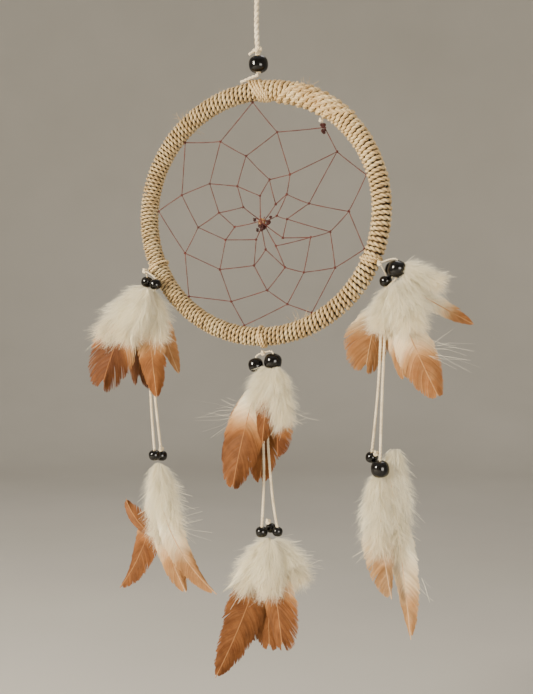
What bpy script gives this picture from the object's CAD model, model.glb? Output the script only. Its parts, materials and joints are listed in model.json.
import json
import math

import bmesh
import bpy
from mathutils import Matrix, Vector

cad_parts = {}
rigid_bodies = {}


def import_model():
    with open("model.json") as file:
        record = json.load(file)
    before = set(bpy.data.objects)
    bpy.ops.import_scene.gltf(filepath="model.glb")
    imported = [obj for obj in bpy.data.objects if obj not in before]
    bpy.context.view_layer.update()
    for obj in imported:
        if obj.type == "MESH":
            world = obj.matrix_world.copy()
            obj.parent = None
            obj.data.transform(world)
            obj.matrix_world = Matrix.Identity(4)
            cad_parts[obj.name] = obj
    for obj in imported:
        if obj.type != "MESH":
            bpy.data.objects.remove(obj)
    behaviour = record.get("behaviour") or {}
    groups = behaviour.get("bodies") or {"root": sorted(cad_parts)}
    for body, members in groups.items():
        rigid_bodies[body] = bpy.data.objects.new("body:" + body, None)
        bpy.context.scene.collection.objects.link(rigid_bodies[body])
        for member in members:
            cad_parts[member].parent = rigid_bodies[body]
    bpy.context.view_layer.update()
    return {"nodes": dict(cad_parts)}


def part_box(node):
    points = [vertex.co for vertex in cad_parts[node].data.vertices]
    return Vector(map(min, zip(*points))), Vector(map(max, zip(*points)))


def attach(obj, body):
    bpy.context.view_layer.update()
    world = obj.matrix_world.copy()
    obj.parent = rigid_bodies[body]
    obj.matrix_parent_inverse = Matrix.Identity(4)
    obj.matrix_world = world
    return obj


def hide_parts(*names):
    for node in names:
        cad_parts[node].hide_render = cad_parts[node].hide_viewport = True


# Hoop-and-web hanging ornament: a twine-wound hoop with a knotted thread web, hung on a cord, with
# three strings of black beads and soft feathers. Metres; X across the hoop, Y to the back, Z up.
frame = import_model()
MM = 0.001
TAU = 2 * math.pi
SIDES = ("left", "centre", "right")


# ---------------------------------------------------------------- arithmetic on node sockets
class Wire:
    """A node's output, on which further nodes can be built with ordinary arithmetic."""

    def __init__(self, tree, socket, vector=False):
        self.tree, self.socket, self.vector = tree, socket, vector

    def into(self, kind, operation, *values, vector=False, output=0):
        node = self.tree.nodes.new(kind)
        node.operation = operation
        for socket, value in zip(node.inputs, values):
            plug(value, socket)
        return Wire(self.tree, node.outputs[output], vector)

    def combine(self, operation, first, second):
        if self.vector:
            return self.into("ShaderNodeVectorMath", operation, first, second, vector=True)
        return self.into("ShaderNodeMath", operation, first, second)

    def __add__(self, other):
        return self.combine("ADD", self, other)

    def __sub__(self, other):
        return self.combine("SUBTRACT", self, other)

    def __rsub__(self, other):
        return self.combine("SUBTRACT", other, self)

    def __mul__(self, other):
        if not self.vector:
            return self.combine("MULTIPLY", self, other)
        node = self.tree.nodes.new("ShaderNodeVectorMath")
        node.operation = "SCALE"
        plug(self, node.inputs[0])
        plug(other, node.inputs["Scale"])
        return Wire(self.tree, node.outputs[0], True)

    def __truediv__(self, other):
        return self.combine("DIVIDE", self, other)

    def __rtruediv__(self, other):
        return self.combine("DIVIDE", other, self)

    __radd__, __rmul__ = __add__, __mul__

    def apply(self, operation, *others):
        return self.into("ShaderNodeMath", operation, self, *others)

    def sin(self):
        return self.apply("SINE")

    def cos(self):
        return self.apply("COSINE")

    def whole(self):
        return self.apply("FLOOR")

    def clamped(self):
        node = self.tree.nodes.new("ShaderNodeClamp")
        plug(self, node.inputs[0])
        return Wire(self.tree, node.outputs[0])


def plug(value, socket):
    """Link a wire to a socket, or set the socket to a plain value."""
    if isinstance(value, Wire):
        value.tree.links.new(value.socket, socket)
    elif value is not None:
        socket.default_value = value


# ---------------------------------------------------------------- geometry trees
SOCKET_KINDS = {float: "Float", int: "Int", bpy.types.Material: "Material"}


class Tree:
    """A Geometry Nodes tree in the making, with a wire for each of its named inputs."""

    def __init__(self, name, **inputs):
        self.tree = bpy.data.node_groups.new(name, "GeometryNodeTree")
        interface = self.tree.interface
        interface.new_socket("Geometry", in_out="INPUT", socket_type="NodeSocketGeometry")
        interface.new_socket("Geometry", in_out="OUTPUT", socket_type="NodeSocketGeometry")
        for label, kind in inputs.items():
            interface.new_socket(label, in_out="INPUT", socket_type="NodeSocket" + SOCKET_KINDS[kind])
        self.start = self.tree.nodes.new("NodeGroupInput")
        self.inputs = {label: Wire(self.tree, self.start.outputs[label]) for label in inputs}
        self.geometry = Wire(self.tree, self.start.outputs["Geometry"])

    def __getitem__(self, label):
        return self.inputs[label]

    def node(self, kind, output=0, vector=False, settings=None, **sockets):
        """Add a node, with its sockets by name (underscores stand for spaces)."""
        node = self.tree.nodes.new(kind)
        for name, value in (settings or {}).items():
            setattr(node, name, value)
        for name, value in sockets.items():
            wanted = name.replace("_", " ")
            socket = next(s for s in node.inputs if s.name == wanted and s.enabled)
            plug(value, socket)
        return Wire(self.tree, node.outputs[output], vector)

    def index(self):
        return self.node("GeometryNodeInputIndex")

    def random(self, low, high, number, seed):
        """A number between two limits, the same each time for the same ID and seed."""
        return self.node("FunctionNodeRandomValue", 1,
                         settings={"data_type": "FLOAT"}, Min=low, Max=high, ID=number,
                         Seed=self["Seed"] + seed if "Seed" in self.inputs else seed)

    def vector(self, x, y, z):
        return self.node("ShaderNodeCombineXYZ", vector=True, X=x, Y=y, Z=z)

    def place(self, geometry, position):
        return self.node("GeometryNodeSetPosition", Geometry=geometry, Position=position)

    def store(self, geometry, name, value):
        """Keep a number at each point, for a material to read."""
        return self.node("GeometryNodeStoreNamedAttribute",
                         settings={"data_type": "FLOAT", "domain": "POINT"},
                         Geometry=geometry, Name=name, Value=value)

    def join(self, *parts):
        node = self.tree.nodes.new("GeometryNodeJoinGeometry")
        for part in reversed(parts):
            self.tree.links.new(part.socket, node.inputs[0])
        return Wire(self.tree, node.outputs[0])

    def finish(self, geometry, material=None):
        geometry = self.node("GeometryNodeRealizeInstances", Geometry=geometry)
        geometry = self.node("GeometryNodeSetShadeSmooth", Geometry=geometry, Shade_Smooth=True)
        if material:
            geometry = self.node("GeometryNodeSetMaterial", Geometry=geometry, Material=material)
        end = self.tree.nodes.new("NodeGroupOutput")
        self.tree.links.new(geometry.socket, end.inputs[0])
        return self.tree


def grown(name, tree, values, mesh=None, turn=None):
    """A piece made by a tree, as a plain mesh in its place."""
    mesh = mesh or bpy.data.meshes.new(name + "_seed")
    seed = bpy.data.objects.new(name + "_seed", mesh)
    bpy.context.collection.objects.link(seed)
    modifier = seed.modifiers.new("tree", "NODES")
    modifier.node_group = tree
    for item in tree.interface.items_tree:
        if item.item_type == "SOCKET" and item.in_out == "INPUT" and item.name in values:
            modifier[item.identifier] = values[item.name]
    depsgraph = bpy.context.evaluated_depsgraph_get()
    made = bpy.data.meshes.new_from_object(
        seed.evaluated_get(depsgraph), preserve_all_data_layers=True, depsgraph=depsgraph)
    seed.modifiers.remove(modifier)
    bpy.data.objects.remove(seed)
    if turn:
        made.transform(turn)
    # the tree leaves an empty first material slot
    made.materials.clear()
    made.materials.append(values["Material"])
    made.polygons.foreach_set("material_index", [0] * len(made.polygons))
    made.name = name
    piece = bpy.data.objects.new(name, made)
    bpy.context.collection.objects.link(piece)
    return piece


# ---------------------------------------------------------------- places
def middle_of(node):
    low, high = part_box(node)
    return (Vector(low) + Vector(high)) / 2


def extent_of(node):
    low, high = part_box(node)
    return Vector(high) - Vector(low)


HOOP = middle_of("hoop_rod")
ROD_RADIUS = extent_of("hoop_rod").y / 2
HOOP_RADIUS = extent_of("hoop_rod").x / 2 - ROD_RADIUS
WRAP_RADIUS = extent_of("hoop_twine").y / 2
STRAND = 1.4 * MM
CORD = 2.5 * MM
TWINE_THICK = 2.05 * MM
GROOVE_FOOT, GROOVE_DEEP = 1.3 * MM, 1.2 * MM


def on_hoop(degrees, radius, front=0.0):
    """A point in the hoop's plane, or in front of it, at an angle round the hoop."""
    turn = math.radians(degrees)
    return HOOP + Vector((radius * math.cos(turn), -front, radius * math.sin(turn)))


def seat(name, body, *nodes, slot):
    """Let a finished piece ride on its body, and say which nodes it stands for."""
    piece = bpy.data.objects[name]
    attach(piece, body)
    if nodes:
        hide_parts(*nodes)
    return piece


# ---------------------------------------------------------------- materials
def paint(red, green, blue):
    """A colour as it shows on a screen, 0 to 255, turned into its linear value."""
    return tuple((c / 255 / 12.92) if c < 10.3 else ((c / 255 + 0.055) / 1.055) ** 2.4
                 for c in (red, green, blue)) + (1.0,)


class Finish:
    """A procedural material in the making."""

    def __init__(self, name, **sockets):
        self.material = bpy.data.materials.new(name)
        self.material.use_nodes = True
        self.tree = self.material.node_tree
        self.shader = next(n for n in self.tree.nodes if n.type == "BSDF_PRINCIPLED")
        self.output = next(n for n in self.tree.nodes if n.type == "OUTPUT_MATERIAL")
        for label, value in sockets.items():
            self.shader.inputs[label.replace("_", " ")].default_value = value

    def node(self, kind, output=0, vector=False, settings=None, **sockets):
        return Tree.node(self, kind, output, vector, settings, **sockets)

    def objects(self):
        return self.node("ShaderNodeTexCoord", "Object", vector=True)

    def kept(self, name, output="Fac", vector=False):
        """A number or vector that the geometry keeps at each point."""
        return self.node("ShaderNodeAttribute", output, vector, {"attribute_name": name})

    def vector(self, x, y, z):
        return self.node("ShaderNodeCombineXYZ", vector=True, X=x, Y=y, Z=z)

    def noise(self, where, scale, detail=3.0, roughness=0.6):
        return self.node("ShaderNodeTexNoise", "Fac", Vector=where, Scale=scale, Detail=detail,
                         Roughness=roughness)

    def blend(self, share, stops):
        """A colour from a ramp of (place, colour) pairs."""
        ramp = self.tree.nodes.new("ShaderNodeValToRGB")
        plug(share, ramp.inputs[0])
        elements = ramp.color_ramp.elements
        while len(elements) < len(stops):
            elements.new(1.0)
        for element, (place, colour) in zip(elements, stops):
            element.position = place
            element.color = colour
        return Wire(self.tree, ramp.outputs[0], True)

    def range(self, value, low, high):
        return self.node("ShaderNodeMapRange", Value=value, To_Min=low, To_Max=high)

    def bump(self, height, strength, distance):
        return self.node("ShaderNodeBump", Height=height, Strength=strength, Distance=distance)

    def done(self, **sockets):
        for label, value in sockets.items():
            plug(value, self.shader.inputs[label.replace("_", " ")])
        return self.material


def groove_depth(finish):
    """0 down between the turns of the twine, 1 on top of them."""
    apart = finish.objects() - HOOP
    x, y, z = (finish.node("ShaderNodeSeparateXYZ", number, Vector=apart) for number in range(3))
    out = (x * x + z * z).apply("SQRT") - HOOP_RADIUS
    height = (out * out + y * y).apply("SQRT")
    return ((height - (WRAP_RADIUS - GROOVE_FOOT)) / GROOVE_DEEP).clamped()


def fibre_finish(name, dark, middle, light, gloss, streak, strength, grooves=False):
    """A twisted cord: streaks run along its plies, and it is dirtier and paler in patches."""
    finish = Finish(name, Roughness=gloss, Specular_IOR_Level=0.35)
    along = finish.kept("along") * (1 / (streak * MM))
    around = finish.kept("around", "Vector", vector=True)
    grain = finish.vector(along * 0.09, along * 0.02, along * 0.05) + around * 1.5
    fibres = finish.noise(grain, 3.4, 4.0, 0.65)
    patches = finish.noise(finish.objects(), 160.0, 2.0)
    share = fibres * 0.75 + patches * 0.5 - 0.12
    colour = finish.blend(share, [(0.25, dark), (0.5, middle), (0.78, light)])
    if grooves:
        colour = colour * finish.range(groove_depth(finish), 0.06, 1.02)
    return finish.done(Base_Color=colour, Normal=finish.bump(fibres, strength, 0.12 * MM))


def bead_finish(name, low, high, smear):
    """Glossy black, with faint smears that dull the gloss in places."""
    finish = Finish(name, Specular_IOR_Level=0.5)
    smears = finish.noise(finish.objects(), 420.0, 3.0)
    colour = finish.blend(smears, [(0.3, low), (0.75, high)])
    dents = finish.noise(finish.objects(), 260.0, 1.0)
    return finish.done(Base_Color=colour, Roughness=finish.range(smears, 0.05, smear),
                       Normal=finish.bump(dents, 0.12, 0.25 * MM))


def feather_finish(name, stops, darkest):
    """Cream down that turns to orange-brown along the feather. The tone of each barb differs."""
    finish = Finish(name, Roughness=0.62, Specular_IOR_Level=0.25, Sheen_Weight=0.25)
    ripe, tone, across = finish.kept("ripe"), finish.kept("tone"), finish.kept("across")
    patches = finish.noise(finish.objects(), 210.0, 3.0)
    share = ripe + (patches - 0.5) * 0.35 * (1 - (1 - ripe) * (1 - ripe))
    colour = finish.blend(share, stops) * finish.range(tone, darkest, 1.08)
    barbs = (across * 40.0).sin()
    finish.done(Base_Color=colour, Normal=finish.bump(barbs, 0.2, 0.05 * MM))
    glow = finish.tree.nodes.new("ShaderNodeBsdfTranslucent")
    plug(colour, glow.inputs["Color"])
    mix = finish.tree.nodes.new("ShaderNodeMixShader")
    mix.inputs[0].default_value = 0.38
    finish.tree.links.new(finish.shader.outputs[0], mix.inputs[1])
    finish.tree.links.new(glow.outputs[0], mix.inputs[2])
    finish.tree.links.new(mix.outputs[0], finish.output.inputs["Surface"])
    return finish.material


TWINE = fibre_finish("dry_grass_twine", paint(142, 108, 64), paint(206, 176, 126),
                     paint(244, 228, 188), 0.5, 0.5, 0.8, True)
CREAM_CORD = fibre_finish("cream_twisted_cord", paint(170, 148, 116), paint(224, 208, 176),
                          paint(246, 236, 212), 0.7, 0.4, 0.6)
RED_THREAD = fibre_finish("waxed_red_thread", paint(44, 18, 14), paint(88, 36, 28),
                          paint(128, 66, 50), 0.45, 0.3, 0.5)
DARK_THREAD = fibre_finish("knotted_dark_thread", paint(26, 10, 8), paint(58, 20, 16),
                           paint(98, 38, 28), 0.45, 0.3, 0.5)
BLACK_GLOSS = bead_finish("black_glossy_bead", paint(6, 5, 5), paint(16, 14, 13), 0.2)
BROWN_BEAD = bead_finish("small_brown_bead", paint(120, 80, 44), paint(190, 146, 96), 0.35)
FEATHER = feather_finish("hen_feather", [
    (0.0, paint(255, 249, 228)), (0.25, paint(250, 230, 193)), (0.5, paint(214, 166, 112)),
    (0.74, paint(178, 116, 62)), (1.0, paint(122, 70, 32))], 0.74)


def cane_finish():
    """Smoked cane, seen only in the gaps between the twine's turns."""
    finish = Finish("bent_cane", Roughness=0.7)
    rings = finish.noise(finish.objects(), 300.0, 4.0)
    colour = finish.blend(rings, [(0.3, paint(58, 38, 22)), (0.7, paint(102, 72, 44))])
    return finish.done(Base_Color=colour, Normal=finish.bump(rings, 0.4, 0.2 * MM))


CANE = cane_finish()


def room_finish():
    finish = Finish("pale_plaster_floor", Roughness=0.9, Specular_IOR_Level=0.1)
    clouds = finish.noise(finish.objects(), 1.6, 4.0)
    colour = finish.blend(clouds, [(0.3, paint(196, 192, 184)), (0.7, paint(208, 204, 196))])
    return finish.done(Base_Color=colour)


# ---------------------------------------------------------------- cords
def plied_tree():
    """Two plies twisted round each other along the incoming line."""
    made = Tree("plied_cord", Diameter=float, Twist=float, Step=float, Relief=float, Sides=int,
                Material=bpy.types.Material)
    line = made.node("GeometryNodeMeshToCurve", Mesh=made.geometry)
    line = made.node("GeometryNodeResampleCurve", settings={"mode": "LENGTH"}, Curve=line,
                     Length=made["Step"])
    along = made.node("GeometryNodeSplineParameter", "Length")
    line = made.store(line, "along", along)
    tangent = made.node("GeometryNodeInputTangent", vector=True)
    normal = made.node("GeometryNodeInputNormal", vector=True)
    sideways = tangent.into("ShaderNodeVectorMath", "CROSS_PRODUCT", tangent, normal, vector=True)
    # a line may keep how much thicker or thinner the cord is at each of its points
    swell = made.node("GeometryNodeInputNamedAttribute", settings={"data_type": "FLOAT"},
                      Name="swell") + 1.0
    offset = made["Diameter"] * made["Relief"] * swell
    thick = made["Diameter"] * (0.5 - made["Relief"])
    profile = made.node("GeometryNodeCurvePrimitiveCircle", Resolution=made["Sides"], Radius=thick)
    around = made.node("GeometryNodeInputPosition", vector=True) * (1 / thick)
    profile = made.node("GeometryNodeStoreNamedAttribute",
                        settings={"data_type": "FLOAT_VECTOR", "domain": "POINT"},
                        Geometry=profile, Name="around", Value=around)
    plies = []
    for phase in (0.0, math.pi):
        angle = along / made["Twist"] * TAU + phase
        shift = normal * (angle.cos() * offset) + sideways * (angle.sin() * offset)
        ply = made.node("GeometryNodeSetPosition", Geometry=line, Offset=shift)
        plies.append(made.node("GeometryNodeCurveToMesh", Curve=ply, Profile_Curve=profile,
                               Scale=swell, Fill_Caps=True))
    return made.finish(made.join(*plies), made["Material"])


PLIED = plied_tree()


def smooth_line(name, points):
    """A line on one smooth open spline with these control points, in metres."""
    curve = bpy.data.curves.new(name + "_route", "CURVE")
    curve.dimensions = "3D"
    curve.resolution_u = 24
    spline = curve.splines.new("NURBS")
    spline.points.add(len(points) - 1)
    for point, place in zip(spline.points, points):
        point.co = (*place, 1.0)
    spline.order_u = 3
    spline.use_endpoint_u = True
    holder = bpy.data.objects.new(name + "_route", curve)
    bpy.context.collection.objects.link(holder)
    line = bpy.data.meshes.new_from_object(holder)
    bpy.data.objects.remove(holder)
    return line


def plied_cord(name, line, diameter, material, twist=2.2, relief=0.2, step=0.28, sides=8):
    """A two-ply cord along a line. Twist is one full turn of the plies, in diameters."""
    return grown(name, PLIED, {
        "Diameter": diameter, "Twist": twist * diameter, "Step": step * diameter,
        "Relief": relief, "Sides": sides, "Material": material}, line)


def hung_cord(node, body, points, diameter):
    """A free cord that hangs on its route, declared with its own length."""
    name = node + "_cord"
    line = smooth_line(name, points)
    path = [vertex.co.copy() for vertex in line.vertices]
    length = sum((b - a).length for a, b in zip(path, path[1:]))
    plied_cord(name, line, diameter, CREAM_CORD)
    piece = seat(name, body, node, slot="cord")
    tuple(path[0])


# one side of the loop from its foot to its top, across and up, in millimetres
LOOP_SIDE = [(1.3, -29.5), (2.3, -17.0), (3.9, -5.0), (3.95, -0.1), (1.6, 1.35)]
LOOP_FOOT = -29.5 * MM
LOOP_KNOT, KNOT_GAP = 5.2 * MM, 0.3 * MM
loop_points = [Vector((-x, 0, z)) * MM for x, z in LOOP_SIDE]
loop_points += [Vector((x, 0, z)) * MM for x, z in reversed(LOOP_SIDE)]
hung_cord("hang_loop", "hanger", loop_points, CORD)

top_bead = middle_of("hang_bead")
bead_half = extent_of("hang_bead").z / 2
cord_top = LOOP_FOOT - LOOP_KNOT * 5 / 6 - KNOT_GAP
stretch = cord_top - (top_bead.z + bead_half)
cord_points = [
    Vector((0, 0, cord_top)),
    Vector((-0.4 * MM, 0, cord_top - 0.5 * stretch)),
    Vector((top_bead.x - 0.3 * MM, 0, top_bead.z + bead_half + 0.05 * stretch)),
    Vector((top_bead.x + 0.1 * MM, 0, top_bead.z - bead_half)),
]
hung_cord("hang_cord", "cord", cord_points, CORD)


# ---------------------------------------------------------------- knots
def thread_mesh(name, runs, closed=False):
    """Bare edges along each run of points, for a cord to follow."""
    mesh = bpy.data.meshes.new(name)
    points, edges = [], []
    for run in runs:
        first, count = len(points), len(run)
        points += run
        edges += [(first + i, first + (i + 1) % count) for i in range(count if closed else count - 1)]
    mesh.from_pydata(points, edges, [])
    return mesh


def knot_points(place, turn, scale, count):
    """Points along a closed overhand knot that is pulled tight."""
    points = []
    for step in range(count):
        t = TAU * step / count
        wave = Vector((math.sin(t) + 2 * math.sin(2 * t), math.cos(t) - 2 * math.cos(2 * t),
                       -1.5 * math.sin(3 * t)))
        points.append(place + turn @ (wave * scale))
    return points


def tied_knot(name, body, nodes, place, size, thickness, turn, material=CREAM_CORD, slot="cord"):
    """A knot of the given outside size. It stands for any nodes that are named."""
    line = thread_mesh(name, [knot_points(place, turn, size / 8.4, 72)], closed=True)
    plied_cord(name, line, thickness, material, step=0.3, sides=7)
    return seat(name, body, *nodes, slot=slot)


def tilted(x, y, z=0.0):
    return (Matrix.Rotation(math.radians(x), 3, "X") @ Matrix.Rotation(math.radians(y), 3, "Y")
            @ Matrix.Rotation(math.radians(z), 3, "Z"))


tied_knot("loop_knot", "hanger", [], Vector((0, 0, LOOP_FOOT - 1.6 * MM)), 6.2 * MM, 2.2 * MM,
          tilted(80, 15))
bead_knot = Vector((top_bead.x - 0.5 * MM, 0, top_bead.z + bead_half + 2.4 * MM))
tied_knot("bead_knot", "cord", [], bead_knot, 4.6 * MM, 1.7 * MM, tilted(70, -20))
plied_cord("bead_knot_end", smooth_line("bead_knot_end", [
    bead_knot, bead_knot + Vector((-2.2, -0.9, -0.4)) * MM, bead_knot + Vector((-3.6, -1.2, -1.9)) * MM]),
    STRAND, CREAM_CORD)
seat("bead_knot_end", "cord", slot="cord")


# ---------------------------------------------------------------- twine round the hoop
def wound_tree():
    """A cord wound round the hoop. Angles are in radians round the hoop from its right side."""
    made = Tree("wound_cord", Hoop_Radius=float, Wound_Radius=float, Start=float, Sweep=float,
                Turns=float, Uneven=float, Wide_Place=float, Slant=float, Slant_Wave=float,
                Wander=float, Bulge=float, Bulge_Place=float, Bulge_Spread=float, Phase=float,
                Per_Turn=int, Seed=int,
                Diameter=float, Twist=float, Step=float, Relief=float, Sides=int,
                Material=bpy.types.Material)
    count = (made["Turns"] * made["Per_Turn"]).whole() + 1
    line = made.node("GeometryNodeMeshLine", Count=count)
    share = made.index() / (count - 1)
    turn = share * made["Turns"] * TAU + made["Phase"]
    even = made["Start"] + share * made["Sweep"]
    # the turns lie wider apart on one side of the hoop, and closer on the other
    spread = even - made["Wide_Place"]
    level = even + (spread.sin() - (made["Start"] - made["Wide_Place"]).sin()) * made["Uneven"]

    def drift(pace, apart, detail):
        """A slow random change along the winding, either way from nothing."""
        return made.node("ShaderNodeTexNoise", "Fac", settings={"noise_dimensions": "1D"},
                         W=share * made["Turns"] * pace + made["Seed"] * apart, Scale=1.0,
                         Detail=detail) - 0.5

    wander, shift = drift(1.7, 13.7, 2.0), drift(0.9, 7.1, 1.0)
    away = (level - made["Bulge_Place"]) / made["Bulge_Spread"]
    bulge = made["Bulge"] / (1 + away * away * away * away)
    radius = made["Wound_Radius"] + made["Wander"] * wander + bulge
    slant = made["Slant"] + made["Slant_Wave"] * (level * 2 + 0.6).sin() + made["Wander"] * 30 * shift
    angle = level + slant * turn.cos() + shift * made["Wander"] * 14
    outward = made["Hoop_Radius"] + radius * turn.cos()
    place = made.vector(outward * angle.cos(), 0 - radius * turn.sin(), outward * angle.sin())
    line = made.store(made.place(line, place), "swell", spread.cos() * made["Uneven"] * 0.8)
    group = made.tree.nodes.new("GeometryNodeGroup")
    group.node_tree = PLIED
    plug(line, group.inputs["Geometry"])
    for label in ("Diameter", "Twist", "Step", "Relief", "Sides", "Material"):
        plug(made[label], group.inputs[label])
    return made.finish(Wire(made.tree, group.outputs[0]), made["Material"])


WOUND = wound_tree()


def wound(name, body, nodes, slot, material, start, sweep, turns, thick, radius, slant=0.0, **more):
    """A cord wound on the part of the hoop that these angles give, in degrees."""
    values = {
        "Hoop_Radius": HOOP_RADIUS, "Wound_Radius": radius, "Start": math.radians(start),
        "Sweep": math.radians(sweep), "Turns": float(turns), "Uneven": 0.0,
        "Wide_Place": math.radians(25), "Slant": slant, "Slant_Wave": 0.0,
        "Wander": 0.0, "Bulge": 0.0, "Bulge_Place": 0.0, "Bulge_Spread": 1.0, "Phase": 0.0,
        "Per_Turn": 36, "Seed": 1, "Diameter": thick, "Twist": 2.4 * thick, "Step": 0.22 * thick,
        "Relief": 0.2, "Sides": 6, "Material": material, **more}
    grown(name, WOUND, values, turn=Matrix.Translation(HOOP))
    return seat(name, body, *nodes, slot=slot)


TWINE_TURNS = 176
wound("hoop_twine_wound", "hoop", ["hoop_twine"], "twine", TWINE, 92, 360, TWINE_TURNS,
      TWINE_THICK, WRAP_RADIUS - TWINE_THICK / 2, Uneven=0.16, Slant=0.006, Slant_Wave=0.014,
      Wander=0.45 * MM, Bulge=0.5 * MM, Bulge_Place=math.radians(92 + 330), Bulge_Spread=0.6,
      Seed=3, Sides=5, Step=0.24 * TWINE_THICK)
wound("twine_overlap", "hoop", [], "twine", TWINE, 49, 29, 8, TWINE_THICK,
      WRAP_RADIUS + 0.2 * MM, Slant=-0.075, Wander=1.2 * MM, Seed=8)
frame["nodes"]["hoop_rod"].data.materials.clear()
frame["nodes"]["hoop_rod"].data.materials.append(CANE)


def ringed(name, node, angle, turns, slant=0.0, seed=1, material=CREAM_CORD):
    """A few turns of a strand round the wrap, bedded in between its turns."""
    pitch = math.degrees(STRAND * 1.05 / HOOP_RADIUS)
    return wound(name, "hoop", [node], "cord", material, angle - pitch * turns / 2,
                 pitch * turns, turns, STRAND, WRAP_RADIUS + 0.1 * MM, slant,
                 Wander=0.35 * MM, Seed=seed, Bulge=0.1 * MM, Bulge_Spread=9.0)


def hoop_angle(node):
    """Where round the hoop a node sits, in degrees."""
    off = middle_of(node) - HOOP
    return math.degrees(math.atan2(off.z, off.x))


ringed("top_lashing_cord", "top_lashing", hoop_angle("top_lashing"), 3.5, 0.05, 2, TWINE)
for number, side in enumerate(SIDES):
    ringed(side + "_tie_cord", side + "_tie", hoop_angle(side + "_tie"), 1.3, 0.012, 5 + number,
           TWINE)

tail_points = [Vector((top_bead.x, 0, top_bead.z - bead_half - 0.9 * MM))]
for across, lift in ((-1.2, 2.5), (-4.0, 1.9), (-8.0, 1.0)):
    reach = HOOP_RADIUS + WRAP_RADIUS + lift * MM
    height = math.sqrt(reach**2 - (across * MM - HOOP.x) ** 2)
    tail_points.append(Vector((across * MM, 0, HOOP.z + height)))
plied_cord("hoop_tail_cord", smooth_line("hoop_tail", tail_points), STRAND * 1.25, CREAM_CORD)
seat("hoop_tail_cord", "tail", "hoop_tail", slot="cord")


# ---------------------------------------------------------------- stray fibres
def fuzz_tree():
    """Short bent fibres that stand out of a cord's surface."""
    made = Tree("stray_fibres", Density=float, Length=float, Thickness=float, Seed=int,
                Material=bpy.types.Material)
    points = made.node("GeometryNodeDistributePointsOnFaces", Mesh=made.geometry,
                       Density=made["Density"], Seed=made["Seed"])
    line = made.node("GeometryNodeMeshLine", Count=5)
    share = made.index() / 4.0
    bend = share * share
    line = made.place(line, made.vector(
        bend * made["Length"] * 0.7, bend * share * made["Length"] * 0.4,
        share * made["Length"] * 0.8))
    curve = made.node("GeometryNodeMeshToCurve", Mesh=line)
    profile = made.node("GeometryNodeCurvePrimitiveCircle", Resolution=3,
                        Radius=made["Thickness"] / 2)
    fibre = made.node("GeometryNodeCurveToMesh", Curve=curve, Profile_Curve=profile)
    turn = made.node("FunctionNodeRandomValue", 0, settings={"data_type": "FLOAT_VECTOR"},
                     Min=(-1.2, -1.2, -3.1), Max=(1.2, 1.2, 3.1), Seed=made["Seed"] + 5)
    spread = made.node("FunctionNodeRandomValue", 1, settings={"data_type": "FLOAT"},
                       Min=0.3, Max=1.0, Seed=made["Seed"] + 9)
    placed = made.node("GeometryNodeInstanceOnPoints", Points=points, Instance=fibre, Rotation=turn,
                       Scale=made.vector(spread, spread, spread))
    return made.finish(placed, made["Material"])


FUZZ = fuzz_tree()


def ring_shell(name, radius, thick, around=96, section=12, start=0.0, sweep=360.0):
    """A plain ring or part of one, for fibres to grow from."""
    mesh = bpy.data.meshes.new(name)
    points, faces = [], []
    for i in range(around):
        level = math.radians(start + sweep * i / around)
        for j in range(section):
            turn = TAU * j / section
            out = radius + thick * math.cos(turn)
            points.append(HOOP + Vector((out * math.cos(level), -thick * math.sin(turn),
                                         out * math.sin(level))))
    for i in range(around if sweep == 360.0 else around - 1):
        for j in range(section):
            here, there = i * section, (i + 1) % around * section
            k = (j + 1) % section
            faces.append((here + j, here + k, there + k, there + j))
    mesh.from_pydata(points, [], faces)
    return mesh


grown("twine_fuzz", FUZZ, {"Density": 42000.0, "Length": 2.4 * MM, "Thickness": 0.09 * MM,
                           "Seed": 4, "Material": TWINE},
      ring_shell("twine_fuzz", HOOP_RADIUS, WRAP_RADIUS - 0.4 * MM))
seat("twine_fuzz", "hoop", slot="twine")
for number, (angle, sweep) in enumerate(((-39, 3.0), (-72, 7.0), (129, 3.0), (66, 4.0))):
    name = f"twine_tuft_{number + 1}"
    grown(name, FUZZ, {"Density": 500000.0, "Length": 5.5 * MM, "Thickness": 0.14 * MM,
                       "Seed": 11 + number, "Material": TWINE},
          ring_shell(name, HOOP_RADIUS, WRAP_RADIUS - 0.6 * MM, 6, 10, angle, sweep))
    seat(name, "hoop", slot="twine")


# ---------------------------------------------------------------- web
# Each ring of knots, from the hoop inwards: degrees round the hoop, share of the inside radius.
WEB_RINGS = [
    [(94.5, 1), (51, 0.93), (17, 1), (-20, 1), (-62, 1), (-99, 1), (-134, 1), (-184, 1),
     (-223, 1)],
    [(78, 0.73), (36, 0.86), (-1, 0.8), (-36, 0.84), (-73, 0.84), (-110, 0.82), (-156, 0.8),
     (-195, 0.79), (-240, 0.77)],
    [(51, 0.43), (9, 0.45), (-16, 0.66), (-53, 0.66), (-85, 0.68), (-129, 0.62), (-171, 0.61),
     (-211, 0.57), (-255, 0.54)],
    [(34, 0.29), (-13, 0.25), (-26, 0.51), (-65, 0.53), (-98, 0.46), (-147, 0.4), (-184, 0.4),
     (-229, 0.34), (-285, 0.31)],
    [(-9, 0.15), (-47, 0.3), (-64, 0.32), (-82, 0.32), (-101, 0.23), (-157, 0.27), (-202, 0.18),
     (-267, 0.16), (-330, 0.16)],
]
INSIDE = HOOP_RADIUS - WRAP_RADIUS
THREAD, WEB_KNOT = 0.6 * MM, 1.25 * MM


def web_point(place):
    angle, share = place
    return on_hoop(angle, min(share * INSIDE, INSIDE - 0.1 * MM))


def sagging(a, b, sag, front=0.0, count=7):
    """Points from one knot to the next, with a little slack in the thread between."""
    points = []
    for step in range(count):
        share = step / (count - 1)
        hang = 4 * share * (1 - share)
        points.append(a.lerp(b, share) + Vector((0, -front * hang, -sag * hang)))
    return points


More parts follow.
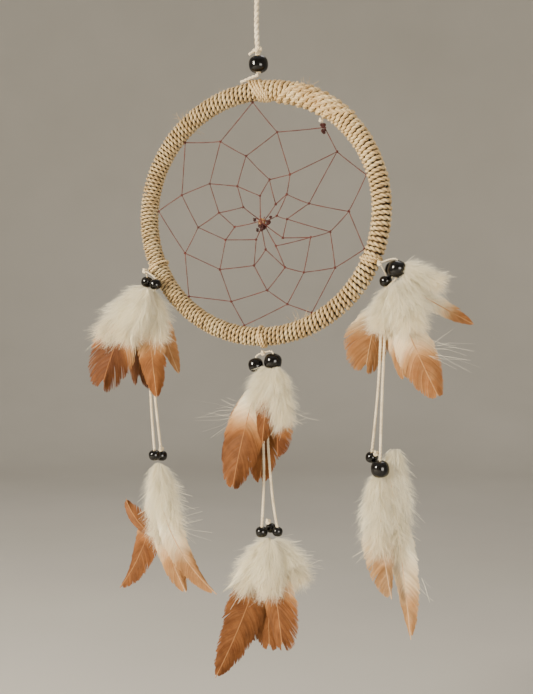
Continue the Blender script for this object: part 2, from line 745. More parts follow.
def web():
    """The knotted thread, from the hoop to the bead in its middle."""
    rings = [[web_point(place) for place in ring] for ring in WEB_RINGS]
    heart = middle_of("web_bead")
    runs = []
    for outer, inner in zip(rings, rings[1:]):
        for index, knot in enumerate(inner):
            for end in (outer[index], outer[(index + 1) % len(outer)]):
                number = len(runs) + 1
                runs.append(sagging(end, knot, 0.25 * MM * math.sin(number * 2.1) ** 2,
                                    0.3 * MM * math.sin(number)))
    # the last of the thread is wound across the bead from side to side
    reach = 2.6 * MM
    for index, knot in enumerate(rings[-1]):
        away = (knot - heart).normalized()
        side = Vector((0, (-1) ** index * 1.6 * MM, 0))
        past = heart - away * reach + side
        runs.append(sagging(knot, heart + away * 1.8 * MM + side, 0.2 * MM)
                    + sagging(heart + away * 1.2 * MM + side, past, 0, 0.2 * MM))
    plied_cord("web_thread_run", thread_mesh("web", runs), THREAD, RED_THREAD, step=1.0, sides=5)
    seat("web_thread_run", "hoop", "web_thread", slot="web_thread")
    knots = []
    for number, place in enumerate(place for ring in rings for place in ring):
        turn = tilted(90 + 25 * math.sin(number * 1.7), 40 * math.sin(number * 2.3), 50 * number)
        knots.append(knot_points(place, turn, WEB_KNOT / 7, 30))
    plied_cord("web_knots", thread_mesh("web_knots", knots, closed=True), THREAD * 0.9, RED_THREAD,
               step=0.7, sides=5)
    seat("web_knots", "hoop", slot="web_thread")
    # the thread is knotted over and over beside the bead, and where it starts at the hoop
    start = web_point((51.6, 0.95))
    for number, (place, across, above, size) in enumerate((
            (heart, 0.6, -2.6, 4.2), (heart, 3.4, -0.6, 2.8), (heart, -3.2, 1.0, 2.0),
            (heart, -1.8, -3.8, 2.0), (heart, 4.6, 1.8, 1.8), (start, -0.8, -0.4, 2.8),
            (start, -0.5, -3.0, 2.6))):
        tied_knot(f"web_tangle_{number + 1}", "hoop", [], place + Vector((across, -0.9, above)) * MM,
                  size * MM, size * 0.36 * MM, tilted(60 + 9 * number, 35 * number), DARK_THREAD,
                  "web_thread")
    tied_knot("web_start_tuft", "hoop", [], start + Vector((-1.7, -1.2, 1.9)) * MM, 2.6 * MM, 0.9 * MM,
              tilted(30, 50), CREAM_CORD)


web()


# ---------------------------------------------------------------- beads
def turned_bead(name, place, radius, half, bore, turn=None, squareness=2.5, segments=44):
    """A bead on the lathe: full-bodied, with a small rounded lip at each end of its hole."""
    profile, count, lip = [], 18, 0.12 * radius
    edge = math.acos(min(0.999, (bore + lip) / radius) ** (squareness / 2))
    for step in range(count + 1):
        angle = -edge + 2 * edge * step / count
        out = radius * math.cos(angle) ** (2 / squareness)
        rise = half * math.copysign(abs(math.sin(angle)) ** (2 / squareness), angle)
        profile.append((out, rise))
    top = profile[-1][1]
    profile += [(bore + 0.4 * lip, top - 0.1 * lip), (bore, top - 0.9 * lip), (bore, 0.0),
                (bore, -top + 0.9 * lip), (bore + 0.4 * lip, -top + 0.1 * lip)]
    mesh = bpy.data.meshes.new(name)
    points, faces, rows = [], [], len(profile)
    for i in range(segments):
        spin = TAU * i / segments
        for out, rise in profile:
            point = Vector((out * math.cos(spin), out * math.sin(spin), rise))
            points.append(place + (turn @ point if turn else point))
        for j in range(rows):
            k, there = (j + 1) % rows, (i + 1) % segments * rows
            faces.append((i * rows + j, there + j, there + k, i * rows + k))
    mesh.from_pydata(points, [], faces)
    mesh.polygons.foreach_set("use_smooth", [True] * len(mesh.polygons))
    piece = bpy.data.objects.new(name, mesh)
    bpy.context.collection.objects.link(piece)
    return piece


def bead_for(node, body, material=BLACK_GLOSS, slot="black_bead", lean=(0, 0), bore=0.95 * MM,
             axis=2):
    """The bead that stands for a node, tipped a little as it hangs on its cord."""
    size = extent_of(node)
    half = size[axis] / 2
    radius = size.x / 2
    turn = tilted(*lean)
    if axis == 1:
        turn = tilted(90, 0) @ turn
    piece = turned_bead(node + "_turned", middle_of(node), radius, half, bore, turn)
    piece.data.materials.append(material)
    return seat(node + "_turned", body, node, slot=slot)


bead_for("hang_bead", "cord", bore=1.5 * MM, lean=(4, -3))
bead_for("web_bead", "hoop", BROWN_BEAD, "web_bead", bore=0.45 * MM, axis=1)
UPPER_BEADS = {
    "left": [("left_bead_outer", (8, 14)), ("left_bead_inner", (0, -10))],
    "centre": [("centre_bead_large", (6, 10)), ("centre_bead_small", (-5, -12))],
    "right": [("right_bead_front", (10, 18)), ("right_bead_back", (-14, 8)),
              ("right_bead_low", (4, -6))],
}
LOWER_BEADS = {
    "left": [("left_low_bead_front", (6, -4)), ("left_low_bead_back", (-4, 6))],
    "centre": [("centre_low_bead_left", (4, -6)), ("centre_low_bead_right", (-4, 10)),
               ("centre_low_bead_back", (8, 0))],
    "right": [("right_low_bead_left", (0, 8)), ("right_low_bead_right", (5, -5))],
}
for side in SIDES:
    for node, lean in UPPER_BEADS[side]:
        bead_for(node, side + "_bunch", lean=lean)
    for node, lean in LOWER_BEADS[side]:
        bead_for(node, side + "_drop", lean=lean)

# ---------------------------------------------------------------- strings
# The strands' points, across and through from the hitch and down from the lowest upper bead.
STRANDS = {
    "left_strand_front": [
        (1.1, -0.2, -0.1), (2.6, -0.4, -28.7), (3.9, -1.5, -54.7), (6.5, -2.8, -76.3)],
    "left_strand_back": [(1.3, 1.7, -0.1), (2.7, 1.9, -28.7), (4.5, 2.3, -54.7)],
    "centre_strand_left": [
        (-0.1, 0, -0.9), (-0.2, 0, -28.1), (0.9, -0.5, -52.1), (-0.2, -1.5, -71.8)],
    "centre_strand_right": [
        (1.7, 0, -0.9), (1.8, 0, -28.1), (3.8, -0.1, -50.1), (5.3, -0.3, -63.1)],
    "right_strand_right": [
        (2.0, 5.2, -1.5), (1.1, 5.0, -26.9), (0.0, 4.4, -50.9), (-0.4, 3.0, -77.5)],
    "right_strand_left": [(0.2, 5.2, -1.5), (-0.7, 5.2, -26.9), (-2.1, 5.6, -50.9)],
}
END_BEADS = {"left_strand_back": "left_low_bead_back",
             "centre_strand_right": "centre_low_bead_right",
             "right_strand_left": "right_low_bead_left"}
STRAND_SEAT = 0.8 * MM
heads = {}
for side in SIDES:
    hitch = middle_of(side + "_hitch")
    lowest = min(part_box(node)[0][2] for node, _ in UPPER_BEADS[side])
    head = Vector((hitch.x, hitch.y, lowest))
    tops = []
    for name in (n for n in STRANDS if n.startswith(side)):
        points = [head + Vector(point) * MM for point in STRANDS[name]]
        if name in END_BEADS:
            low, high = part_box(END_BEADS[name])
            place = middle_of(END_BEADS[name])
            points.append(Vector((place.x, place.y, high[2] - STRAND_SEAT)))
        tops.append(points[0])
        hung_cord(name, side + "_drop", points, STRAND)
    heads[side] = (tops[0] + tops[1]) / 2
    tied_knot(side + "_hitch_knot", side + "_knot", [side + "_hitch"], hitch, 2.9 * MM, 1.1 * MM,
              tilted(60, 30 * len(tops)))
    for number, (node, _) in enumerate(UPPER_BEADS[side]):
        place, half = middle_of(node), extent_of(node).z / 2
        above = Vector((0, 0, half))
        name = f"{side}_lead_{number + 1}"
        plied_cord(name, smooth_line(name, [
            hitch, place + above * 1.5, place + above * 0.4, place - above * 0.6,
            place - above * 1.1, heads[side] + Vector((0, 0, 0.4 * MM))]), 0.85 * MM, CREAM_CORD)
        seat(name, side + "_bunch", slot="cord")

# the small knot over each lot of lower beads: which bead it is tied to, and its place from there
LOW_KNOTS = {
    "centre": ("centre_low_bead_left", (3.4, -0.8, 2.6)),
    "right": ("right_low_bead_right", (-2.0, 0.6, 3.0)),
    "left": ("left_low_bead_back", (0.4, -1.0, 0.8)),
}
for side, (node, offset) in LOW_KNOTS.items():
    bead_top = middle_of(node)
    bead_top.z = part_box(node)[1][2]
    tied_knot(side + "_low_knot", side + "_drop", [], bead_top + Vector(offset) * MM, 3.0 * MM,
              1.1 * MM, tilted(50, 60))


# ---------------------------------------------------------------- feathers
VANE_POINTS, DOWN_POINTS, HAIR_POINTS = 9, 6, 3
VANE_ROWS, DOWN_ROWS, HAIRS_EACH = 150, 130, 14
# where the vane ends along the rachis, how many barbs cling together, and how much of the rachis
# it takes for the colour to turn
VANE_END, CLINGING, TURNING = 0.93, 13.0, 0.3


def strips(made, count, rows):
    """Separate strips, each two points wide, with where each point is: strip, edge, share."""
    grid = made.node("GeometryNodeMeshGrid", Vertices_X=count * 2, Vertices_Y=rows)
    column = (made.index() / float(rows)).whole()
    share = (made.index() - column * float(rows)) / float(rows - 1)
    strip = (column / 2.0).whole()
    edge = (column - strip * 2.0) * 2.0 - 1.0
    between = (made.index() / float(rows - 1)).whole().apply("MODULO", 2.0)
    cut = made.node("GeometryNodeDeleteGeometry", settings={"domain": "FACE", "mode": "ONLY_FACE"},
                    Geometry=grid, Selection=between)
    return cut, strip, edge, share


def settled(made, geometry, place, ripe, tone, across):
    """The strips put in place, with what the material reads at each point."""
    geometry = made.place(geometry, place)
    for name, value in (("ripe", ripe), ("tone", tone), ("across", across)):
        geometry = made.store(geometry, name, value)
    return geometry


def feather_tree():
    """A feather that hangs from its quill: a curved rachis, barbs that lie together as a vane with
    splits in it, and down of loose wavy barbs, each with fine hairs."""
    made = Tree("feather", Length=float, Half_Width=float, Sweep=float, Bow=float, Curl=float,
                Down=float, Fluff=float, Splits=float, Ripe=float, Ripe_Start=float, Tip=float,
                Point=float, Seed=int, Material=bpy.types.Material)
    length, half_width = made["Length"], made["Half_Width"]

    def rachis(share):
        bend = share * share * length
        bow = share * (1 - share) * 4 * length * made["Bow"]
        return made.vector(bend * made["Sweep"] + bow, bend * made["Curl"], 0 - share * length)

    # vane
    grid, strip, edge, share = strips(made, VANE_ROWS * 2, VANE_POINTS)
    row = (strip / 2.0).whole()
    side = (strip - row * 2.0) * 2.0 - 1.0
    along = (row + made.random(0.0, 0.9, strip, 1)) / float(VANE_ROWS)
    vane_start = made["Down"] * 0.6
    level = vane_start + (VANE_END - vane_start) * along
    group = (row / CLINGING + made.random(0.0, 0.5, row, 2) + side * 31.0).whole()
    lean = made.random(-1.0, 1.0, group, 3) * made["Splits"]
    wisp = made.random(-1.0, 1.0, strip, 4)
    opening = 0.92 - along * made["Tip"] + lean * share * 0.16 + wisp * 0.03
    taper = 1 - along * along * along * along * made["Point"]
    swell = (along * 4.0).clamped() * 0.4 + 0.6
    reach = half_width * 1.5 * taper * swell * (1 + made.random(-0.06, 0.05, strip, 5))
    outward = reach * opening.sin() * (share * 1.28 - share * share * 0.28) * side
    forward = reach * opening.cos() * (share * 0.6 + share * share * 0.4)
    cupped = reach * share * share * 0.2 + lean * share * 0.5 * MM + wisp * share * 0.15 * MM
    width = length * (VANE_END - vane_start) / float(VANE_ROWS) * 1.5 * (1.05 - share * share * 0.75)
    place = rachis(level) + made.vector(
        outward + edge * width * opening.cos() * side,
        cupped + edge * width * wisp * 0.4,
        edge * width * opening.sin() - forward)
    turning = (level + share * 0.1 + lean * 0.03 - made["Ripe_Start"]) / TURNING
    ripe = turning.clamped() * made["Ripe"]
    vane = settled(made, grid, place, ripe, made.random(0.0, 1.0, group, 6) * 0.5
                   + made.random(0.0, 0.5, strip, 7), level * 30 + share)

    def down_line(barb, share):
        """A point along one of the loose barbs of the down."""
        start = (barb + made.random(0.0, 1.0, barb, 11)) / float(DOWN_ROWS)
        level = start * made["Down"]
        side = (made.random(0.0, 1.0, barb, 12) + 0.5).whole() * 2.0 - 1.0
        around = made.random(-1.1, 1.1, barb, 13)
        opening = made.random(0.7, 1.55, barb, 14) - start * 0.35
        body = start * 3.4 + 0.35
        reach = made["Fluff"] * (body.apply("MINIMUM", 1.0)) * made.random(0.55, 1.05, barb, 15)
        reach = reach * (1 + (made.random(0.0, 1.0, barb, 18) - 0.93).clamped() * 6.0)
        outward = reach * opening.sin() * (share * 1.3 - share * share * 0.3)
        wave = (share * made.random(5.0, 9.0, barb, 16) + made.random(0.0, 6.0, barb, 17)).sin()
        wave = wave * reach * 0.07 * share
        return rachis(level) + made.vector(
            outward * around.cos() * side + wave * 0.5,
            outward * around.sin() + wave,
            wave * 0.6 - reach * (opening.cos() * share * 0.6 + share * share * 0.75)), start

    # loose barbs of the down
    grid, strip, edge, share = strips(made, DOWN_ROWS, DOWN_POINTS)
    place, start = down_line(strip, share)
    width = (0.08 - share * 0.04) * MM
    place = place + made.vector(edge * width * 0.3, edge * width * 0.5, edge * width)
    warm = (start - 0.7).clamped() * 0.6
    down = settled(made, grid, place, warm * made["Ripe"], made.random(0.55, 1.0, strip, 21), share)

    # their hairs
    grid, strip, edge, share = strips(made, DOWN_ROWS * HAIRS_EACH, HAIR_POINTS)
    barb = (strip / float(HAIRS_EACH)).whole()
    at = (strip - barb * float(HAIRS_EACH) + 1.0) / float(HAIRS_EACH)
    root, start = down_line(barb, at)
    reach = made["Fluff"] * 0.2 * made.random(0.5, 1.1, strip, 31) * (1.15 - at * 0.6)
    swing = [made.random(-1.0, 1.0, strip, 32 + number) for number in range(3)]
    width = (0.05 - share * 0.02) * MM
    place = root + made.vector(
        reach * share * swing[0] + edge * width * swing[1],
        reach * share * swing[1] + edge * width * swing[2],
        reach * share * (swing[2] * 0.7 - 0.45) - reach * share * share * 0.25 - edge * width * swing[0])
    warm = (start - 0.7).clamped() * 0.5
    hairs = settled(made, grid, place, warm * made["Ripe"], made.random(0.6, 1.0, barb, 35), share)

    # quill and rachis
    line = made.node("GeometryNodeMeshLine", Count=26)
    level = made.index() / 25.0
    line = made.place(line, rachis(level * 0.97))
    curve = made.node("GeometryNodeMeshToCurve", Mesh=line)
    profile = made.node("GeometryNodeCurvePrimitiveCircle", Resolution=7, Radius=0.22 * MM)
    shaft = made.node("GeometryNodeCurveToMesh", Curve=curve, Profile_Curve=profile, Fill_Caps=True)
    tint = ((level - made["Ripe_Start"]) / TURNING).clamped() * made["Ripe"] * 0.75
    for name, value in (("ripe", tint), ("tone", 0.9), ("across", 0.0)):
        shaft = made.store(shaft, name, value)
    return made.finish(made.join(vane, down, hairs, shaft), made["Material"])


def down_tree():
    """Loose down: short curved hairs all through a long soft body that hangs from its top."""
    made = Tree("loose_down", Length=float, Width=float, Flat=float, Shoulder=float, Sweep=float,
                Curl=float, Lumps=float, Hair=float, Hairs=int, Thick=float, Out=float, Ripe=float,
                Seed=int, Material=bpy.types.Material)
    grid, hair, edge, share = strips(made, made["Hairs"], HAIR_POINTS)
    at = made.random(0.0, 1.0, hair, 1)
    turn = made.random(0.0, TAU, hair, 2)
    depth = made.random(0.1, 1.0, hair, 3).apply("POWER", 0.5)
    where = made.vector(turn.cos() * 0.9, turn.sin() * 0.9, at * 3.0 + made["Seed"] * 3.1)
    lump = made.node("ShaderNodeTexNoise", "Fac", Vector=where, Scale=1.1, Detail=1.0) - 0.5
    swirl = made.node("ShaderNodeTexNoise", "Color", vector=True, Vector=where, Scale=1.6,
                      Detail=1.0) - (0.5, 0.5, 0.5)
    shape = ((made["Shoulder"] + (0.9 - made["Shoulder"]) * at) * math.pi).sin().apply("POWER", 0.7)
    radius = made["Width"] * shape * (1 + lump * made["Lumps"])
    down_along = at * made["Length"]
    root = made.vector(turn.cos() * radius * depth + at * down_along * made["Sweep"],
                       turn.sin() * radius * depth * made["Flat"] + at * down_along * made["Curl"],
                       0 - down_along)
    bold = ((made.random(0.0, 1.0, hair, 12) - 0.85) * 7.0).clamped()
    reach = made["Hair"] * made.random(0.4, 1.05, hair, 4) * (1 + bold * 0.4)
    swing = [made.random(-1.0, 1.0, hair, 5 + number) for number in range(3)]
    heading = (made.vector(turn.cos() * made["Out"] + swing[0] * 0.3,
                           turn.sin() * made["Out"] + swing[1] * 0.3, swing[2] * 0.3 - 0.7)
               + swirl * 1.5)
    bend = made.vector(swing[1] * 0.35, swing[2] * 0.35, -0.3)
    width = (1.0 - share * 0.55) * made["Thick"] * (1 + bold * 1.4) * edge
    place = (root + heading * (reach * share) + bend * (reach * share * share)
             + made.vector(swing[2] * width, swing[0] * width, swing[1] * width))
    warm = (at + share * 0.2 - 0.7).clamped() * made["Ripe"]
    tone = made.random(0.3, 0.75, hair, 9) + lump * 1.1 + bold * 0.3
    puff = settled(made, grid, place, warm, tone.clamped(), share)
    return made.finish(puff, made["Material"])


FEATHER_TREE, DOWN_TREE = feather_tree(), down_tree()

# Each feather: lean to the left and tilt to the back in degrees, sideways sweep and curl as
# shares of its length, share of its length that is down, reach of the down in millimetres.
FEATHERS = {
    "left_feather_wide": (27, -9, 0.16, -0.05, 0.4, 7),
    "left_feather_long": (-7, -4, 0.03, -0.04, 0.4, 6),
    "left_feather_back": (9, 5, -0.04, 0.06, 0.4, 7),
    "left_feather_tan": (-22, 11, -0.12, 0.05, 0.35, 3),
    "centre_feather_long": (17, -9, 0.12, -0.05, 0.3, 4),
    "centre_feather_right": (-22, -5, -0.2, -0.03, 0.5, 5),
    "centre_feather_mid": (2, 4, -0.05, -0.1, 0.3, 5),
    "centre_feather_left": (28, 9, -0.02, 0.04, 0.3, 4),
    "right_feather_side": (-57, 12, 0.03, 0.03, 0.45, 4),
    "right_feather_long": (-22, -9, 0.05, -0.06, 0.4, 7),
    "right_feather_mid": (-13, -4, -0.04, -0.03, 0.5, 6),
    "right_feather_left": (20, 5, 0.1, 0.05, 0.35, 4),
    "left_low_feather_left": (18, -2, -0.02, 0.03, 0.3, 4),
    "left_low_feather_right": (-17, -5, 0.02, -0.05, 0.45, 6),
    "left_low_feather_far": (-28, -8, 0.05, -0.03, 0.4, 5),
    "centre_low_feather_right": (-9, -6, 0.05, -0.05, 0.4, 7),
    "centre_low_feather_long": (21, -2, 0.0, -0.03, 0.3, 6),
    "centre_low_feather_mid": (4, 3, 0.03, 0.04, 0.36, 7),
    "centre_low_feather_left": (13, 7, -0.1, 0.05, 0.36, 7),
    "right_low_feather_left": (7, -4, 0.24, -0.03, 0.4, 5),
    "right_low_feather_long": (-9, 2, -0.02, -0.03, 0.5, 6),
    "right_low_feather_back": (-4, 6, 0.03, 0.05, 0.6, 7),
}
# What differs from the usual for some of them.
SPECIAL = {
    "left_feather_wide": {"Half_Width": 12 * MM, "Point": 0.7, "Ripe_Start": 0.34,
                          "Length": 49 * MM},
    "left_feather_long": {"Half_Width": 6.5 * MM, "Ripe": 0.8, "Ripe_Start": 0.34,
                          "Length": 54 * MM},
    "left_feather_back": {"Half_Width": 13 * MM, "Point": 0.7, "Ripe_Start": 0.34},
    "left_feather_tan": {"Ripe": 0.6, "Ripe_Start": 0.25, "Half_Width": 4.4 * MM, "Bow": -0.05},
    "centre_feather_long": {"Half_Width": 9.5 * MM, "Ripe_Start": 0.26, "Ripe": 0.9},
    "centre_feather_mid": {"Half_Width": 9 * MM, "Ripe_Start": 0.22, "Ripe": 0.8, "Point": 0.7},
    "centre_feather_left": {"Half_Width": 8.5 * MM, "Ripe_Start": 0.25},
    "centre_feather_right": {"Half_Width": 6 * MM, "Ripe_Start": 0.5, "Length": 39 * MM},
    "right_feather_side": {"Half_Width": 3.8 * MM, "Ripe": 0.7, "Ripe_Start": 0.5},
    "right_feather_long": {"Half_Width": 8.5 * MM, "Ripe": 0.68, "Ripe_Start": 0.36},
    "right_feather_mid": {"Half_Width": 7 * MM, "Ripe": 0.62, "Ripe_Start": 0.4},
    "right_feather_left": {"Half_Width": 10 * MM, "Ripe": 0.66, "Ripe_Start": 0.28, "Point": 0.7,
                           "Length": 37 * MM},
    "left_low_feather_left": {"Bow": 0.1, "Half_Width": 7.2 * MM, "Ripe": 0.85, "Ripe_Start": 0.3},
    "left_low_feather_right": {"Half_Width": 7.5 * MM, "Ripe": 0.58, "Ripe_Start": 0.45, "Bow": -0.08},
    "left_low_feather_far": {"Half_Width": 5.5 * MM, "Ripe": 0.6, "Ripe_Start": 0.45, "Bow": -0.1},
    "centre_low_feather_right": {"Half_Width": 9.5 * MM, "Ripe": 0.85, "Ripe_Start": 0.3, "Point": 0.65},
    "centre_low_feather_long": {"Bow": 0.03, "Half_Width": 9 * MM, "Ripe": 0.88, "Ripe_Start": 0.16,
                                "Point": 0.85},
    "centre_low_feather_mid": {"Half_Width": 10 * MM, "Ripe": 0.85, "Ripe_Start": 0.26, "Point": 0.7},
    "centre_low_feather_left": {"Half_Width": 10 * MM, "Ripe_Start": 0.26, "Point": 0.7},
    "right_low_feather_left": {"Half_Width": 7 * MM, "Ripe": 0.48, "Length": 53 * MM, "Bow": 0.03},
    "right_low_feather_long": {"Half_Width": 6.5 * MM, "Ripe": 0.5, "Ripe_Start": 0.5,
                               "Length": 80 * MM},
    "right_low_feather_back": {"Half_Width": 7 * MM, "Ripe": 0.35},
}


def body_of(name):
    """The moving body that a feather or its down goes with."""
    return name.split("_")[0] + ("_drop" if "_low_" in name else "_bunch")


def hung_from(anchor, offset, lean, tilt):
    """The place of a soft piece: an offset in millimetres from a node, then leant and tilted."""
    return Matrix.Translation(middle_of(anchor) + Vector(offset) * MM) @ tilted(tilt, lean).to_4x4()


def feathery(name, tree, place, values, *nodes):
    """A feather, a vane or a puff of down, made in its place."""
    grown(name, tree, {**values, "Material": FEATHER}, turn=place)
    seat(name, body_of(name), *nodes, slot="feather")


for number, (node, (lean, tilt, sweep, curl, down, fluff)) in enumerate(FEATHERS.items()):
    turn = tilted(tilt, lean)
    blade = [turn.transposed() @ vertex.co for vertex in frame["nodes"][node].data.vertices]
    low = Vector([min(point[i] for point in blade) for i in range(3)])
    high = Vector([max(point[i] for point in blade) for i in range(3)])
    root = turn @ Vector(((low.x + high.x) / 2, (low.y + high.y) / 2, high.z))
    spin = Matrix.Rotation(math.radians(22 * math.sin(number * 2.4)), 3, "Z")
    values = {
        "Length": high.z - low.z, "Half_Width": (high.x - low.x) / 2, "Sweep": sweep, "Bow": 0.0,
        "Curl": curl, "Down": down, "Fluff": fluff * MM, "Splits": 0.3, "Ripe": 1.0,
        "Ripe_Start": 0.42, "Tip": 0.6, "Point": 0.8, "Seed": 100 + 40 * number,
        **SPECIAL.get(node, {})}
    feathery(node + "_plume", FEATHER_TREE, Matrix.Translation(root) @ (turn @ spin).to_4x4(), values,
             node)

# Loose down round the quills: what it hangs by, its top from there, lean and tilt, length and
# widest radius, sideways sweep, and what else differs. Millimetres and degrees.
DOWN = {
    "left_down_wide": ("left_hitch", (1.4, -3.7, -7.6), 35, -8, 31, 7.2, -0.06, {"Shoulder": 0.03}),
    "left_down_front": ("left_hitch", (4.4, -6.2, -8.6), 15, -6, 26, 5.6, -0.15, {"Shoulder": 0.05}),
    "left_down_inner": ("left_hitch", (3.6, -1.7, -8.6), -8, 0, 23, 5.2, 0.05, {"Shoulder": 0.05}),
    "centre_down_left": ("centre_hitch", (3.7, -3.0, -6.6), 13, -4, 18, 5.8, 0.0, {}),
    "centre_down_front": ("centre_hitch", (6.4, -4.5, -6.6), -12, -4, 25, 5.4, 0.0, {}),
    "right_down_lobe": ("right_hitch", (5.0, 1.4, -11.6), 14, -4, 17, 6.0, 0.0, {}),
    "right_down_front": ("right_hitch", (8.6, -1.7, -8.0), -19, -6, 22, 8.0, 0.0, {}),
    "right_down_upper": ("right_hitch", (9.4, 2.0, -2.0), -62, 4, 17, 3.6, 0.1, {"Shoulder": 0.25}),
    "left_low_down_front": ("left_low_bead_front", (1.7, 0.3, -3.6), -5, -3, 35, 5.4, 0.0,
                            {"Shoulder": 0.05}),
    "left_low_down_side": ("left_low_bead_front", (2.9, -0.3, -4.0), -15, -4, 33, 4.6, 0.0,
                           {"Shoulder": 0.05}),
    "centre_low_down_left": ("centre_low_bead_left", (4.0, -1.5, -2.6), 32, -3, 26, 4.8, 0.05,
                             {"Shoulder": 0.02}),
    "centre_low_down_front": ("centre_low_bead_left", (5.4, -3.5, -2.4), -2, -4, 24, 7.4, 0.0,
                              {"Shoulder": 0.03}),
    "centre_low_down_right": ("centre_low_bead_left", (6.0, 0.5, -2.8), -33, 0, 22, 5.0, 0.0,
                              {"Shoulder": 0.03, "Lumps": 1.3, "Out": 0.9}),
    "right_low_down_left": ("right_low_bead_right", (-1.6, 1.3, -3.0), 0, -2, 33, 5.8, 0.0,
                            {"Shoulder": 0.08}),
    "right_low_down_back": ("right_low_bead_right", (5.6, 5.3, 8.6), -1, 1, 49, 6.2, 0.0,
                            {"Shoulder": 0.08}),
}
for number, (name, (anchor, offset, lean, tilt, length, width, sweep, more)) in enumerate(DOWN.items()):
    feathery(name, DOWN_TREE, hung_from(anchor, offset, lean, tilt), {
        "Length": length * MM, "Width": width * MM, "Flat": 0.62, "Shoulder": 0.14, "Sweep": sweep,
        "Curl": 0.0, "Lumps": 0.7, "Hair": 4.6 * MM, "Hairs": 9000, "Thick": 0.05 * MM, "Out": 0.6,
        "Ripe": 0.15, "Seed": 7 + 3 * number, **more})

# Small vanes that lie over the down: hung in the same way, then length and half width, sideways
# sweep and bow, how ripe in colour and from where along.
SMALL_VANES = {
    "left_white_vane": ("left_hitch", (5.4, -7.7, -9.4), 16, -6, 28, 3.4, 0.04, -0.07, 0.0, -0.3),
    "centre_low_white_vane": ("centre_low_bead_left", (1.9, -3.5, -3.5), 38, -4, 31, 3.2, 0.0, 0.05,
                              0.0, -0.3),
    "centre_front_vane": ("centre_hitch", (4.4, -5.6, -10.0), 3, -5, 32, 5.8, 0.0, 0.0, 0.9, 0.2),
    "left_low_split_vane": ("left_low_bead_front", (-0.4, 0.2, -38.4), 142, 0, 23, 4.6, 0.02, 0.1,
                            0.85, -0.3),
}
for number, (name, (anchor, offset, lean, tilt, length, width, sweep, bow, ripe, ripe_start)) in enumerate(
        SMALL_VANES.items()):
    feathery(name, FEATHER_TREE, hung_from(anchor, offset, lean, tilt), {
        "Length": length * MM, "Half_Width": width * MM, "Sweep": sweep, "Bow": bow, "Curl": -0.04,
        "Down": 0.1, "Fluff": 2 * MM, "Splits": 0.4, "Ripe": ripe, "Ripe_Start": ripe_start, "Tip": 0.8,
        "Point": 1.0, "Seed": 900 + 40 * number})

# Long loose hairs that stand out of the down: where from, which way, how long and how many.
WISPS = {
    "centre_wisps_left": ("centre_hitch", (-11.0, -1.0, -27.0), 84, 0, 15, 7.0, 22),
    "centre_wisps_right": ("centre_hitch", (15.5, -3.0, -29.0), -84, 0, 7, 4.0, 12),
    "right_wisps": ("right_hitch", (22.5, -3.0, -38.0), -76, -4, 13, 4.5, 18),
    "left_low_wisps": ("left_low_bead_front", (12.5, -1.5, -30.0), -80, 0, 10, 6.5, 22),
    "right_low_wisps": ("right_low_bead_right", (15.0, 6.0, -49.0), -52, 0, 8, 4.0, 12),
    "centre_low_wisps": ("centre_low_bead_left", (16.5, 0.5, -15.0), -74, 0, 8, 6.0, 16),
}
for number, (name, (anchor, offset, lean, tilt, length, width, count)) in enumerate(WISPS.items()):
    feathery(name, DOWN_TREE, hung_from(anchor, offset, lean, tilt), {
        "Length": 3 * MM, "Width": width * MM, "Flat": 0.5, "Shoulder": 0.4, "Sweep": 0.0,
        "Curl": 0.0, "Lumps": 0.3, "Hair": length * 1.15 * MM, "Hairs": count, "Thick": 0.07 * MM,
        "Out": 0.2, "Ripe": 0.0, "Seed": 81 + 3 * number})


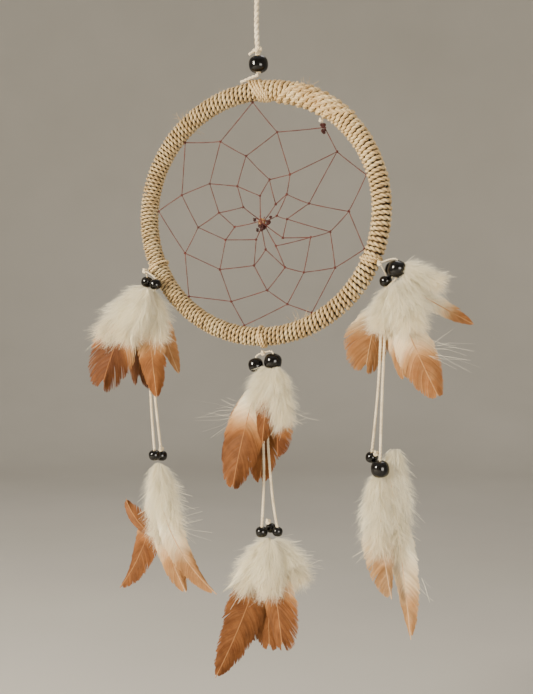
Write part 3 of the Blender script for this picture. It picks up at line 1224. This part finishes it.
# ---------------------------------------------------------------- room, lights and camera
def room():
    """A pale floor that curves up all round, well away from the ornament."""
    floor, flat, bend, top = -0.42, 1.3, 0.7, 1.9
    steps, sides = 12, 72
    profile = [(0.0, floor), (flat, floor)]
    for step in range(1, steps + 1):
        angle = math.pi / 2 * step / steps
        profile.append((flat + bend * math.sin(angle), floor + bend * (1 - math.cos(angle))))
    profile.append((flat + bend, top))
    mesh = bpy.data.meshes.new("floor")
    shell = bmesh.new()
    rows = [[shell.verts.new((out * math.cos(TAU * i / sides), out * math.sin(TAU * i / sides), rise))
             for i in range(sides)] for out, rise in profile[1:]]
    centre = shell.verts.new((0, 0, floor))
    for i in range(sides):
        after = (i + 1) % sides
        shell.faces.new((centre, rows[0][i], rows[0][after]))
        for lower, upper in zip(rows, rows[1:]):
            shell.faces.new((lower[i], upper[i], upper[after], lower[after]))
    shell.to_mesh(mesh)
    shell.free()
    mesh.polygons.foreach_set("use_smooth", [True] * len(mesh.polygons))
    mesh.materials.append(room_finish())
    piece = bpy.data.objects.new("floor", mesh)
    bpy.context.collection.objects.link(piece)


def aimed(place, target):
    return (Vector(target) - Vector(place)).to_track_quat("-Z", "Y").to_euler()


def soft_light(name, place, size, watts, colour):
    lamp = bpy.data.lights.new(name, "AREA")
    lamp.size, lamp.energy, lamp.color = size, watts, colour
    holder = bpy.data.objects.new(name, lamp)
    holder.location = place
    holder.rotation_euler = aimed(place, (0, 0, -0.2))
    bpy.context.collection.objects.link(holder)


room()
soft_light("key", (-0.58, -0.72, 0.04), 0.28, 18.5, (1.0, 0.92, 0.77))
soft_light("fill", (0.7, -0.7, -0.3), 0.5, 8.5, (1.0, 0.94, 0.85))
soft_light("back", (0.1, 0.6, 0.9), 0.5, 3.0, (1.0, 0.94, 0.88))
world = bpy.data.worlds.new("room_light")
world.use_nodes = True
world.node_tree.nodes["Background"].inputs["Color"].default_value = (1.0, 0.97, 0.93, 1)
world.node_tree.nodes["Background"].inputs["Strength"].default_value = 0.45
bpy.context.scene.world = world

CAMERA_TURN, CAMERA_DISTANCE = math.radians(19), 0.45
TARGET = Vector((4.64, 0, -198.15)) * MM
camera = bpy.data.objects.new("camera", bpy.data.cameras.new("camera"))
camera.data.lens = 50.58
camera.location = TARGET + CAMERA_DISTANCE * Vector((math.sin(CAMERA_TURN), -math.cos(CAMERA_TURN), 0))
camera.rotation_euler = aimed(camera.location, TARGET)
camera.data.clip_start = 0.01
bpy.context.collection.objects.link(camera)
bpy.context.scene.camera = camera
